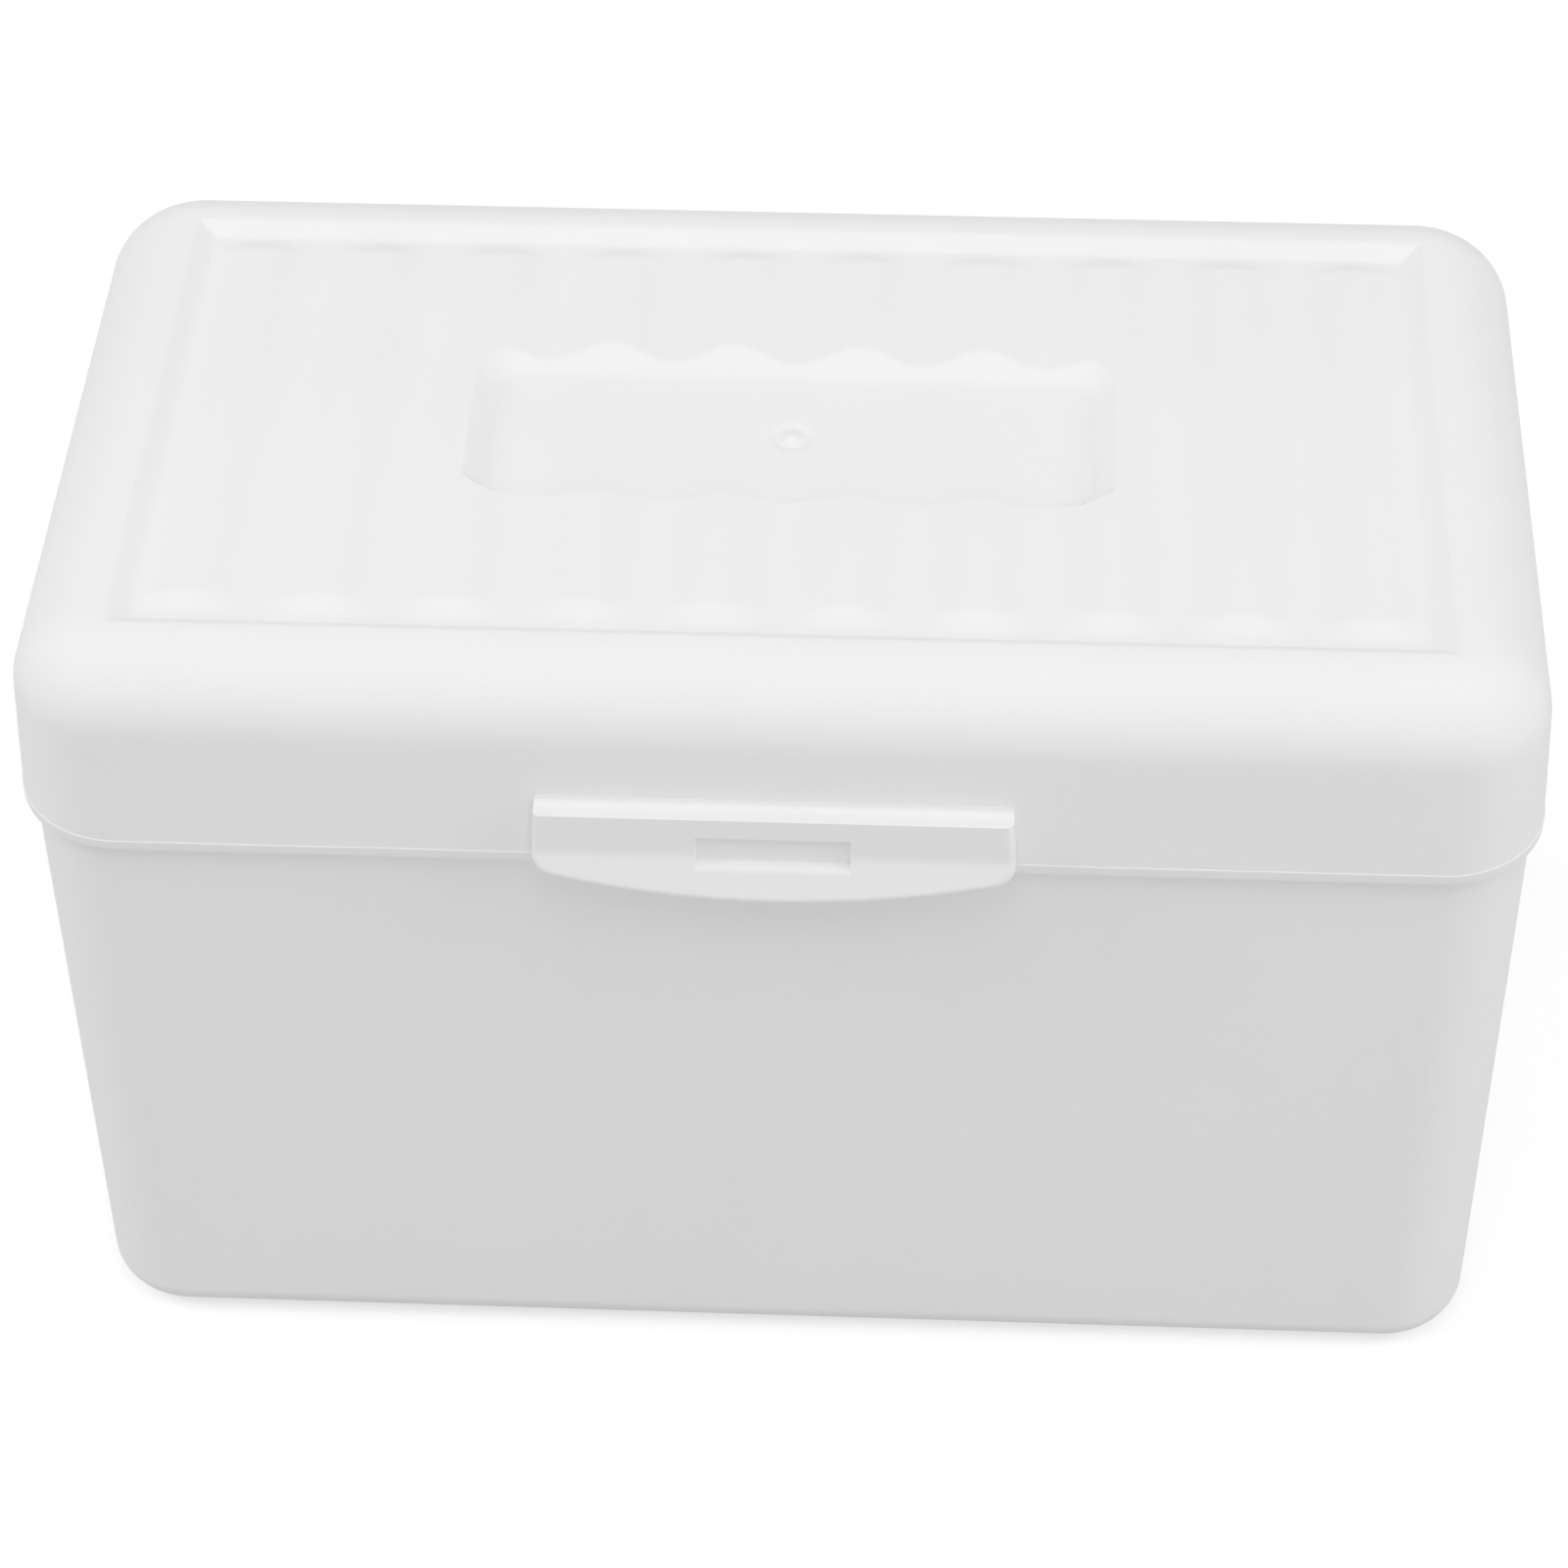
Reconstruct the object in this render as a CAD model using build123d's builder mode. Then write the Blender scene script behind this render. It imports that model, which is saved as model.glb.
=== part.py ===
from build123d import *
import os
from math import cos, radians, sin, tan

os.makedirs("parts", exist_ok=True)

# A desk box for index cards: a moulded tub, a hinged lid with a waved top, a thumb latch
# on the lid's front and tabbed dividers in the tub.
# Millimetres. X runs along the width, Y towards the back, Z up. The origin lies in the
# middle of the tub's underside.

# Lid shell
lid_width = 145.0
lid_depth = 80.4
lid_height = 21.0
lid_wall = 1.5
lid_draft = 3.0
lid_corner_radius = 10.3
lid_top_round = 7.8
lid_rim_round = 0.3

# Tub shell
rim_height = 69.4
rim_gap = 0.25
tub_inset = 1.1
tub_wall = 2.0
tub_floor = 2.0
tub_draft = 0.4
tub_corner_radius = 8.6
tub_bottom_round = 3.9
tub_inside_round = 2.0

# Neck of the tub, which stands inside the lid's skirt
neck_height = 4.2
neck_gap = 0.45
neck_round = 0.3

# Waved field in the lid's top
field_side_border = 1.2
field_front_border = 0.1
field_wall_run = 1.9
wave_count = 10
wave_height = 0.95
wave_crest_drop = 0.1
wave_end_roll = 3.2

# Label pocket in the middle of the field, with the mark of the mould's gate in its floor
pocket_floor_width = 59.0
pocket_floor_front = 10.45
pocket_floor_back = 9.0
pocket_floor_drop = 1.75
pocket_end_angle = 48.0
pocket_front_angle = 12.0
pocket_back_angle = 58.0
pocket_corner_radius = 2.4
gate_radius = 2.0
gate_line = 0.4
gate_drop = 0.2
gate_nub_radius = 0.7
pocket_boss_margin = 1.5

# Latch on the lid's front
latch_width = 44.4
latch_rise = 7.4
latch_proud = 2.15
latch_crease_drop = 4.1
latch_lip_drop = 1.6
latch_lip_thickness = 1.8
latch_flare_angle = 22.0
latch_blend = 0.8
latch_blend_edge = 0.06
latch_trough_angle = 100.0
latch_edge_rise = 0.2
latch_edge_round = 0.15
latch_crease_round = 3.0
latch_side_spread = 0.5
latch_outline_round = 0.8
latch_corner_rise = 0.8
latch_corner_round = 2.2
latch_window_width = 14.3
latch_window_height = 3.0
latch_window_drop = 2.15
latch_window_depth = 0.45
latch_window_round = 0.2
latch_window_lip_round = 0.9

# Catch on the neck and the hook behind the latch
catch_width = 16.0
catch_reach = 1.0
catch_rise = 1.7
catch_height = 1.2
catch_nose = 0.4
hook_clearance = 0.2
hook_height = 1.2
hook_root = 0.6
hook_neck_gap = 0.35
notch_clearance = 0.6

# How far a catch or a hinge web reaches into the wall that it stands on
root_sink = 0.8

# Hinges at the back
hinge_spacing = 76.0
hinge_barrel_radius = 2.6
hinge_barrel_length = 14.0
hinge_ear_length = 4.0
hinge_side_gap = 0.3
hinge_wall_gap = 0.7
hinge_relief = 0.35
hinge_web_rise = 3.0
heel_reach = 5.5
heel_thickness = 1.1
heel_gap = 0.08
lid_open_angle = 110.0
pin_radius = 1.0
pin_running_gap = 0.05
pin_chamfer = 0.2

# Dividers
divider_count = 5
divider_thickness = 0.8
divider_side_gap = 5.43
divider_edge_round = 0.35
divider_corner_radius = 3.0
divider_floor_gap = 0.25
divider_lean = 1.5
tab_height = 7.4
tab_head_gap = 1.08
tab_corner_radius = 2.0
tab_side_gap = 1.0

# Heights and slopes that follow from them
box_height = rim_height + lid_height
lid_slope = tan(radians(lid_draft))
tub_slope = tan(radians(tub_draft))
shoulder_z = rim_height - rim_gap
neck_top_z = rim_height + neck_height
lid_inset_at_top = lid_height * lid_slope + lid_top_round
trough_drop = wave_crest_drop + wave_height
ceiling_z = box_height - trough_drop - lid_wall


def skirt_y(z):
    """Distance of the lid's outer front or back face from the middle plane at a height."""
    return lid_depth / 2 - (z - rim_height) * lid_slope


def tapered_block(width, depth, radius, bottom, top, slope_angle):
    """A block on a rounded rectangle, which narrows upwards by slope_angle degrees."""
    with BuildPart() as block:
        with BuildSketch(Plane.XY.offset(bottom)):
            RectangleRounded(width, depth, radius)
        extrude(amount=top - bottom, taper=slope_angle)
    return block.part


def bar_of(outline, length):
    """A bar of the given length, centred on X, with its outline drawn in Y and Z."""
    with BuildPart() as bar:
        with BuildSketch(Plane.YZ):
            with BuildLine():
                Polyline(*outline, close=True)
            make_face()
        extrude(amount=length / 2, both=True)
    return bar.part


# Hinge axis, behind the tub at the height of the rim
tub_top_width = lid_width - 2 * tub_inset
tub_top_depth = lid_depth - 2 * tub_inset
hinge_y = tub_top_depth / 2 + hinge_wall_gap + hinge_barrel_radius
hinge_z = rim_height
hinge_places = [(-hinge_spacing / 2, 0, 0), (hinge_spacing / 2, 0, 0)]
ear_offset = hinge_barrel_length / 2 + hinge_side_gap + hinge_ear_length / 2
pin_length = hinge_barrel_length + 2 * (hinge_side_gap + hinge_ear_length)


def hinge_cylinder(radius, length):
    """A cylinder along X about the hinge axis, centred on X = 0."""
    with BuildPart() as barrel:
        with BuildSketch(Plane.YZ):
            with Locations((hinge_y, hinge_z)):
                Circle(radius)
        extrude(amount=length / 2, both=True)
    return barrel.part


# Room for the cards inside the tub
tub_bottom_width = tub_top_width - 2 * shoulder_z * tub_slope
tub_bottom_depth = tub_top_depth - 2 * shoulder_z * tub_slope
inside_width = tub_bottom_width + 2 * (tub_floor * tub_slope - tub_wall)
inside_depth = tub_bottom_depth + 2 * (tub_floor * tub_slope - tub_wall)

with BuildPart() as card_room:
    add(
        tapered_block(
            inside_width,
            inside_depth,
            tub_corner_radius - tub_wall,
            tub_floor,
            neck_top_z + neck_round,
            -tub_draft,
        )
    )
    fillet(card_room.edges().group_by(Axis.Z)[0], tub_inside_round)

# One hinge ear of the tub: a round eye, a web down to the wall, and a heel behind it on
# which the open lid's skirt comes to rest
skirt_to_axis = (hinge_y - lid_depth / 2) * cos(radians(lid_draft))
stop_angle = radians(lid_draft - lid_open_angle)


def heel_top(reach):
    """Height over the hinge axis of the open skirt's outer face, at a reach behind the axis."""
    return -(skirt_to_axis - heel_gap + reach * cos(stop_angle)) / sin(stop_angle)


tub_wall_y = tub_top_depth / 2 - root_sink
ear_web = [
    (tub_wall_y, shoulder_z),
    (hinge_y, shoulder_z),
    (hinge_y, hinge_z - hinge_barrel_radius),
    (tub_wall_y, hinge_z - hinge_barrel_radius - hinge_web_rise),
]
ear_heel = [
    (hinge_y, hinge_z + heel_top(0)),
    (hinge_y + heel_reach, hinge_z + heel_top(heel_reach)),
    (hinge_y + heel_reach, hinge_z + heel_top(heel_reach) - heel_thickness),
    (hinge_y, hinge_z - hinge_barrel_radius),
]

with BuildPart() as hinge_ear:
    add(hinge_cylinder(hinge_barrel_radius, hinge_ear_length))
    add(bar_of(ear_web, hinge_ear_length))
    add(bar_of(ear_heel, hinge_ear_length))
    add(hinge_cylinder(pin_radius, 2 * hinge_ear_length), mode=Mode.SUBTRACT)

# Tub: the tapered shell, the neck inside the lid, the catch on the neck's front, the ears
neck_width = lid_width - 2 * (lid_wall + neck_gap)
neck_depth = lid_depth - 2 * (lid_wall + neck_gap)
neck_radius = lid_corner_radius - lid_wall - neck_gap
catch_bottom_z = rim_height + catch_rise
catch_top_z = catch_bottom_z + catch_height


def neck_y(z):
    """Distance of the neck's outer front face from the middle plane at a height."""
    return neck_depth / 2 - (z - shoulder_z) * lid_slope


catch_outline = [
    (-neck_y(catch_bottom_z) + root_sink, catch_bottom_z),
    (-neck_y(catch_bottom_z) - catch_reach, catch_bottom_z),
    (-neck_y(catch_bottom_z) - catch_reach, catch_bottom_z + catch_nose),
    (-neck_y(catch_top_z) + root_sink, catch_top_z + root_sink),
]

with BuildPart() as tub:
    add(
        tapered_block(
            tub_bottom_width, tub_bottom_depth, tub_corner_radius, 0, shoulder_z, -tub_draft
        )
    )
    fillet(tub.edges().group_by(Axis.Z)[0], tub_bottom_round)
    add(tapered_block(neck_width, neck_depth, neck_radius, shoulder_z, neck_top_z, lid_draft))
    fillet(tub.edges().group_by(Axis.Z)[-1], neck_round)
    add(card_room.part, mode=Mode.SUBTRACT)
    add(bar_of(catch_outline, catch_width))
    for place in hinge_places:
        for side in (-1, 1):
            with Locations((place[0] + side * ear_offset, 0, 0)):
                add(hinge_ear.part)

tub.part.label = "tub"
export_step(tub.part, "parts/tub.step")

# Hinge pins, pressed into the tub's ears and free in the lid's barrels
for side, place in zip(("left", "right"), hinge_places):
    with BuildPart() as hinge_pin:
        with BuildSketch(Plane.YZ.offset(place[0] - pin_length / 2)):
            with Locations((hinge_y, hinge_z)):
                Circle(pin_radius)
        extrude(amount=pin_length)
        chamfer(hinge_pin.edges().filter_by(GeomType.CIRCLE), pin_chamfer)
    hinge_pin.part.label = "hinge_pin_" + side
    export_step(hinge_pin.part, "parts/hinge_pin_" + side + ".step")

# Space inside the lid
cavity_width = lid_width - 2 * lid_wall
cavity_depth = lid_depth - 2 * lid_wall

with BuildPart() as lid_cavity:
    add(
        tapered_block(
            cavity_width,
            cavity_depth,
            lid_corner_radius - lid_wall,
            rim_height,
            ceiling_z,
            lid_draft,
        )
    )
    fillet(lid_cavity.edges().group_by(Axis.Z)[-1], lid_top_round - lid_wall)

# Waves of the field: ridges that run front to back, with rolled ends
field_width = lid_width - 2 * (lid_inset_at_top + field_side_border)
field_length = lid_depth - 2 * (lid_inset_at_top + field_front_border)
wave_span = field_width - field_wall_run
wave_pitch = wave_span / wave_count
quarter_wave = wave_pitch / 4
crest_z = box_height - wave_crest_drop
trough_z = box_height - trough_drop
middle_z = (crest_z + trough_z) / 2
ridge_end = field_length / 2 - field_wall_run
ridge_flat_end = ridge_end - wave_end_roll

with BuildPart() as ridges:
    with BuildSketch(Plane.XZ):
        with BuildLine():
            first_x = -wave_span / 2 - quarter_wave
            last_x = -first_x
            for wave in range(wave_count):
                wave_x = first_x + wave * wave_pitch
                ThreePointArc(
                    (wave_x, middle_z),
                    (wave_x + quarter_wave, trough_z),
                    (wave_x + 2 * quarter_wave, middle_z),
                )
                ThreePointArc(
                    (wave_x + 2 * quarter_wave, middle_z),
                    (wave_x + 3 * quarter_wave, crest_z),
                    (wave_x + wave_pitch, middle_z),
                )
            ThreePointArc(
                (last_x - 2 * quarter_wave, middle_z),
                (last_x - quarter_wave, trough_z),
                (last_x, middle_z),
            )
            Polyline(
                (last_x, middle_z), (last_x, ceiling_z), (first_x, ceiling_z), (first_x, middle_z)
            )
        make_face()
    extrude(amount=ridge_end, both=True)
    with BuildSketch(Plane.YZ):
        with BuildLine():
            Line((-ridge_flat_end, crest_z), (ridge_flat_end, crest_z))
            TangentArc((ridge_flat_end, crest_z), (ridge_end, trough_z), tangent=(1, 0))
            Polyline(
                (ridge_end, trough_z),
                (ridge_end, ceiling_z),
                (-ridge_end, ceiling_z),
                (-ridge_end, trough_z),
            )
            TangentArc((-ridge_flat_end, crest_z), (-ridge_end, trough_z), tangent=(-1, 0))
        make_face()
    extrude(amount=field_width, both=True, mode=Mode.INTERSECT)

with BuildPart() as field_recess:
    with BuildSketch(Plane.XY.offset(trough_z)):
        Rectangle(field_width - 2 * field_wall_run, field_length - 2 * field_wall_run)
    with BuildSketch(Plane.XY.offset(box_height)):
        Rectangle(field_width, field_length)
    loft()
    add(ridges.part, mode=Mode.SUBTRACT)

# Label pocket, smooth: its steep front and its sloped ends and back cut the waves
pocket_floor_z = box_height - pocket_floor_drop
pocket_ceiling_z = pocket_floor_z - lid_wall
pocket_floor_length = pocket_floor_front + pocket_floor_back
pocket_end_run = pocket_floor_drop * tan(radians(pocket_end_angle))
pocket_front_run = pocket_floor_drop * tan(radians(pocket_front_angle))
pocket_back_run = pocket_floor_drop * tan(radians(pocket_back_angle))
pocket_width = pocket_floor_width + 2 * pocket_end_run
pocket_length = pocket_floor_length + pocket_front_run + pocket_back_run
pocket_floor_y = (pocket_floor_back - pocket_floor_front) / 2
pocket_y = pocket_floor_y + (pocket_back_run - pocket_front_run) / 2

with BuildPart() as label_pocket:
    with BuildSketch(Plane.XY.offset(pocket_floor_z)):
        with Locations((0, pocket_floor_y)):
            RectangleRounded(pocket_floor_width, pocket_floor_length, pocket_corner_radius)
    with BuildSketch(Plane.XY.offset(box_height)):
        with Locations((0, pocket_y)):
            RectangleRounded(pocket_width, pocket_length, pocket_corner_radius)
    loft()

# One hinge barrel of the lid, with the web that joins it to the skirt
lid_web_y = lid_depth / 2 - root_sink
lid_web = [
    (lid_web_y, hinge_z),
    (hinge_y, hinge_z),
    (hinge_y, hinge_z + hinge_barrel_radius),
    (lid_web_y, hinge_z + hinge_barrel_radius + hinge_web_rise),
]

with BuildPart() as hinge_barrel:
    add(hinge_cylinder(hinge_barrel_radius, hinge_barrel_length))
    add(bar_of(lid_web, hinge_barrel_length))
    add(
        hinge_cylinder(pin_radius + pin_running_gap, 2 * hinge_barrel_length),
        mode=Mode.SUBTRACT,
    )

# Lid
notch_top_z = catch_top_z + root_sink + notch_clearance

with BuildPart() as lid:
    add(tapered_block(lid_width, lid_depth, lid_corner_radius, rim_height, box_height, lid_draft))
    fillet(lid.edges().group_by(Axis.Z)[-1], lid_top_round)
    add(lid_cavity.part, mode=Mode.SUBTRACT)
    fillet(lid.edges().group_by(Axis.Z)[0], lid_rim_round)
    # The ceiling hangs lower under the pocket, so that its floor has a full wall
    with BuildSketch(Plane.XY.offset(pocket_ceiling_z)):
        with Locations((0, pocket_y)):
            RectangleRounded(
                pocket_width + 2 * pocket_boss_margin,
                pocket_length + 2 * pocket_boss_margin,
                pocket_corner_radius + pocket_boss_margin,
            )
    extrude(amount=lid_wall)
    add(field_recess.part, mode=Mode.SUBTRACT)
    add(label_pocket.part, mode=Mode.SUBTRACT)
    # Gate mark in the pocket's floor
    with BuildSketch(Plane.XY.offset(pocket_floor_z)):
        Circle(gate_radius)
        Circle(gate_radius - gate_line, mode=Mode.SUBTRACT)
    extrude(amount=-gate_drop, mode=Mode.SUBTRACT)
    with BuildSketch(Plane.XY.offset(pocket_floor_z)):
        Circle(gate_nub_radius)
    extrude(amount=gate_drop)
    # Hinges, and the reliefs in the skirt that let the tub's ears turn past it
    for place in hinge_places:
        with Locations(place):
            add(hinge_barrel.part)
        for side in (-1, 1):
            with Locations((place[0] + side * ear_offset, 0, 0)):
                add(
                    hinge_cylinder(
                        hinge_barrel_radius + hinge_relief, hinge_ear_length + 2 * hinge_side_gap
                    ),
                    mode=Mode.SUBTRACT,
                )
    # Notch behind the latch, for its hook and the catch
    with BuildSketch(Plane.XZ.offset(cavity_depth / 2 - lid_wall)):
        with Locations((0, notch_top_z)):
            Rectangle(
                catch_width + 2 * notch_clearance,
                notch_top_z - rim_height,
                align=(Align.CENTER, Align.MAX),
            )
    extrude(amount=lid_depth, mode=Mode.SUBTRACT)

lid.part.label = "lid"
export_step(lid.part, "parts/lid.step")

# Latch: a plate on the skirt's front with a flared lip, a window recess and a hook behind
latch_top_z = rim_height + latch_rise
latch_hinge_z = latch_top_z + latch_blend
latch_hinge_y = -skirt_y(latch_hinge_z)
crease_z = latch_top_z - latch_crease_drop
crease_y = -skirt_y(crease_z) - latch_proud
lip_z = rim_height - latch_lip_drop
lip_front_y = crease_y - (crease_z - lip_z) * tan(radians(latch_flare_angle))
lip_back_y = lip_front_y + latch_lip_thickness
latch_edge_z = latch_top_z + latch_edge_rise
latch_top_y = -skirt_y(latch_edge_z) - latch_proud
blend_y = latch_hinge_y - latch_blend_edge
# The top is a trough: a round down from the skirt, then a slope up to the front edge
trough_sine = sin(radians(latch_trough_angle))
trough_cosine = cos(radians(latch_trough_angle))
trough_end = (
    blend_y - latch_blend * (1 - trough_cosine),
    latch_hinge_z - latch_blend * trough_sine,
)
window_top_z = latch_top_z - latch_window_drop
window_floor_y = -skirt_y(window_top_z) - latch_proud + latch_window_depth
hook_top_z = catch_bottom_z - hook_clearance
hook_tip_y = -neck_depth / 2 - hook_neck_gap
latch_half_top = latch_width / 2
latch_half_bottom = latch_half_top + latch_side_spread
latch_corner_z = rim_height + latch_corner_rise

hook_outline = [
    (-skirt_y(hook_top_z) - hook_root, hook_top_z),
    (hook_tip_y, hook_top_z),
    (hook_tip_y, hook_top_z - hook_height / 2),
    (-skirt_y(rim_height) - hook_root, hook_top_z - hook_height),
]

with BuildPart() as latch:
    with BuildSketch(Plane.YZ) as latch_profile:
        with BuildLine():
            Line((latch_hinge_y, latch_hinge_z), (blend_y, latch_hinge_z))
            TangentArc((blend_y, latch_hinge_z), trough_end, tangent=(0, -1))
            Polyline(
                trough_end,
                (latch_top_y, latch_edge_z),
                (crease_y, crease_z),
                (lip_front_y, lip_z),
                (lip_back_y, lip_z),
                (-skirt_y(rim_height), rim_height),
                (latch_hinge_y, latch_hinge_z),
            )
        make_face()
        profile_corners = latch_profile.vertices()
        fillet(
            profile_corners.filter_by_position(Axis.Y, crease_z, crease_z), latch_crease_round
        )
        top_corners = profile_corners.filter_by_position(Axis.Y, latch_edge_z, latch_edge_z)
        fillet(top_corners.sort_by(Axis.X)[0], latch_edge_round)
    extrude(amount=latch_width, both=True)
    # Outline seen from the front: sides that spread downwards and a bowed lower edge
    with BuildSketch(Plane.XZ) as latch_front:
        with BuildLine():
            Polyline(
                (-latch_half_bottom, latch_corner_z),
                (-latch_half_top, latch_hinge_z + latch_blend),
                (latch_half_top, latch_hinge_z + latch_blend),
                (latch_half_bottom, latch_corner_z),
            )
            ThreePointArc(
                (-latch_half_bottom, latch_corner_z),
                (0, lip_z),
                (latch_half_bottom, latch_corner_z),
            )
        make_face()
        fillet(latch_front.vertices().group_by(Axis.Y)[0], latch_corner_round)
    extrude(amount=lid_depth, mode=Mode.INTERSECT)
    front_edges = latch.edges().filter_by(
        lambda edge: edge.bounding_box().max.Y < latch_top_y + latch_edge_round
    )
    fillet(front_edges.filter_by(Axis.X, reverse=True), latch_outline_round)
    # Window recess over the crease
    with BuildSketch(Plane.XZ.offset(-window_floor_y)):
        with Locations((0, window_top_z)):
            Rectangle(
                latch_window_width, latch_window_height, align=(Align.CENTER, Align.MAX)
            )
    extrude(amount=lid_depth, mode=Mode.SUBTRACT)
    window_front_y = window_floor_y - latch_window_round
    window_rim = latch.edges(Select.NEW).filter_by(
        lambda edge: edge.bounding_box().max.Y < window_front_y
    )
    fillet(window_rim.group_by(Axis.Z)[0], latch_window_lip_round)
    # The rest of the window's rim, picked again because the lip's fillet has trimmed it
    window_reach = latch_window_width / 2 + latch_window_round
    window_rim = (
        latch.edges()
        .filter_by(lambda edge: edge.bounding_box().max.Y < window_front_y)
        .filter_by_position(Axis.X, -window_reach, window_reach)
        .filter_by_position(Axis.Z, crease_z - latch_window_lip_round, latch_top_z - latch_edge_round)
    )
    fillet(window_rim, latch_window_round)
    add(bar_of(hook_outline, catch_width))

latch.part.label = "latch"
export_step(latch.part, "parts/latch.step")

# Dividers: plain sheets with a tab each, the tabs staggered from left to right. Each tips
# about the middle of its rounded bottom edge, and its heights are measured from there.
divider_pitch = inside_depth / (divider_count + 1)
divider_width = inside_width - 2 * divider_side_gap
sheet_bottom = divider_thickness / 2
divider_z = tub_floor + divider_floor_gap + sheet_bottom
tab_top = (pocket_ceiling_z - tab_head_gap - divider_z) / cos(radians(divider_lean))
sheet_top = tab_top - tab_height
tab_pitch = (divider_width - 2 * divider_corner_radius) / divider_count
tab_width = tab_pitch - tab_side_gap

for number in range(divider_count):
    divider_y = (number - (divider_count - 1) / 2) * divider_pitch
    tab_x = (number - (divider_count - 1) / 2) * tab_pitch
    divider_plane = Plane(origin=(0, divider_y, divider_z), x_dir=(1, 0, 0), z_dir=(0, -1, 0))
    divider_plane = divider_plane.rotated((-divider_lean, 0, 0))
    with BuildPart() as divider:
        with BuildSketch(divider_plane) as sheet:
            with Locations((0, sheet_top)):
                RectangleRounded(
                    divider_width,
                    sheet_top + sheet_bottom,
                    divider_corner_radius,
                    align=(Align.CENTER, Align.MAX),
                )
            with Locations((tab_x, tab_top)):
                Rectangle(
                    tab_width,
                    tab_height + divider_corner_radius,
                    align=(Align.CENTER, Align.MAX),
                )
            fillet(sheet.vertices().group_by(Axis.Y)[-1], tab_corner_radius)
        extrude(amount=divider_thickness / 2, both=True)
        bottom_edges = divider.edges().filter_by(Axis.X).group_by(Axis.Z)[0:2]
        fillet(bottom_edges[0] + bottom_edges[1], divider_edge_round)
    divider.part.label = "divider_" + str(number + 1)
    export_step(divider.part, "parts/divider_" + str(number + 1) + ".step")
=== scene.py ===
# %% [markdown]
# # A white moulded card box
# A desk box for index cards: a tub, a hinged lid with a waved top and a thumb latch, and
# tabbed dividers inside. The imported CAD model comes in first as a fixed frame. Every
# visible piece here lies in that frame, in metres, and rides on one of its bodies.

# %% Load the frame
from math import atan2, cos, pi, radians, sin, sqrt, tan

import bmesh
import bpy
from mathutils import Matrix, Vector
from mathutils.geometry import delaunay_2d_cdt


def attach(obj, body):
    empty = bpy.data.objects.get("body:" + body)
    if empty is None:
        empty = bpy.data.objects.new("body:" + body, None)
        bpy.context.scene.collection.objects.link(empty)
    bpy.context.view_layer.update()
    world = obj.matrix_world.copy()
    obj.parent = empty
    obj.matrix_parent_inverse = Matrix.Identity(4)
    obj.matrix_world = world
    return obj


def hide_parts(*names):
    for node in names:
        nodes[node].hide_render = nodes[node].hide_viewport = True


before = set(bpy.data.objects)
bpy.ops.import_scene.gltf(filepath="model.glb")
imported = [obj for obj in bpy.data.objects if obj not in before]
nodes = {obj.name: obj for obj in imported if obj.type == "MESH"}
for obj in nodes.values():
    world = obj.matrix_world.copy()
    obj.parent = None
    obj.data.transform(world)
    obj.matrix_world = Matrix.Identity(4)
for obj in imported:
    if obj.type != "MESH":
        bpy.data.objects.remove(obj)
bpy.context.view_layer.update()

MM = 0.001


# %% [markdown]
# ## The camera
# The box's outlines in the photograph fix where the camera stood: about a third of a metre
# in front of the box's middle and as far above the desk, a thumb's breadth to the right,
# with a long lens. It could be turned by eye until the outlines match, but three measured
# angles give the same view each time. A camera in Blender looks along its own -Z, so its
# matrix holds the directions right, up and back.

# %% Camera
CAMERA_PLACE = Vector((17.446, -339.187, 364.189)) * MM
CAMERA_PITCH = 0.7588
CAMERA_YAW = -0.0549
CAMERA_ROLL = 0.0116
PHOTO_WIDTH = 1600
FOCAL_PIXELS = 4574.45
SENSOR_WIDTH = 36.0
CLIP_NEAR, CLIP_FAR = 0.01, 50.0

level = cos(CAMERA_PITCH)
looking = Vector((sin(CAMERA_YAW) * level, cos(CAMERA_YAW) * level, -sin(CAMERA_PITCH)))
level_right = Vector((cos(CAMERA_YAW), -sin(CAMERA_YAW), 0))
level_down = looking.cross(level_right)
right = cos(CAMERA_ROLL) * level_right + sin(CAMERA_ROLL) * level_down
down = cos(CAMERA_ROLL) * level_down - sin(CAMERA_ROLL) * level_right

camera_data = bpy.data.cameras.new("camera")
camera_data.sensor_width = SENSOR_WIDTH
camera_data.lens = FOCAL_PIXELS / PHOTO_WIDTH * SENSOR_WIDTH
camera_data.clip_start = CLIP_NEAR
camera_data.clip_end = CLIP_FAR
camera = bpy.data.objects.new("camera", camera_data)
facing = Matrix((right, -down, -looking)).transposed()
camera.matrix_world = Matrix.Translation(CAMERA_PLACE) @ facing.to_4x4()
bpy.context.scene.collection.objects.link(camera)
bpy.context.scene.camera = camera
bpy.context.scene.view_settings.view_transform = "Standard"
print("camera lens in mm", round(camera_data.lens, 2))

# %% [markdown]
# ## Small helpers for node trees
# Shader trees and geometry trees are built the same way: a node is added, its settings are
# set, and each input gets either a number or a link. That takes three or four lines a node
# when written out. Two helpers keep it to one, so that the trees below stay readable.


# %% Node helpers
def add_node(tree, kind, inputs=None, **settings):
    """A new node, with its settings, and with inputs given as numbers or as sockets."""
    node = tree.nodes.new(kind)
    for name, value in settings.items():
        setattr(node, name, value)
    for name, value in (inputs or {}).items():
        feed(tree, node.inputs[name], value)
    return node


def feed(tree, socket, value):
    """Gives an input a link when the value is a socket or a Value, else sets it."""
    if isinstance(value, Value):
        value = value.socket
    if isinstance(value, bpy.types.NodeSocket):
        tree.links.new(value, socket)
    else:
        socket.default_value = value


print("made the helpers", add_node.__name__, "and", feed.__name__)

# %% [markdown]
# ## Node maths as plain maths
# A height or a gloss that changes over a surface is a chain of Math nodes. Written node by
# node, the formula gets lost. A small class that stands for one socket lets the script use
# plus, minus, times and divide, and each of them adds its Math node.


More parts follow.
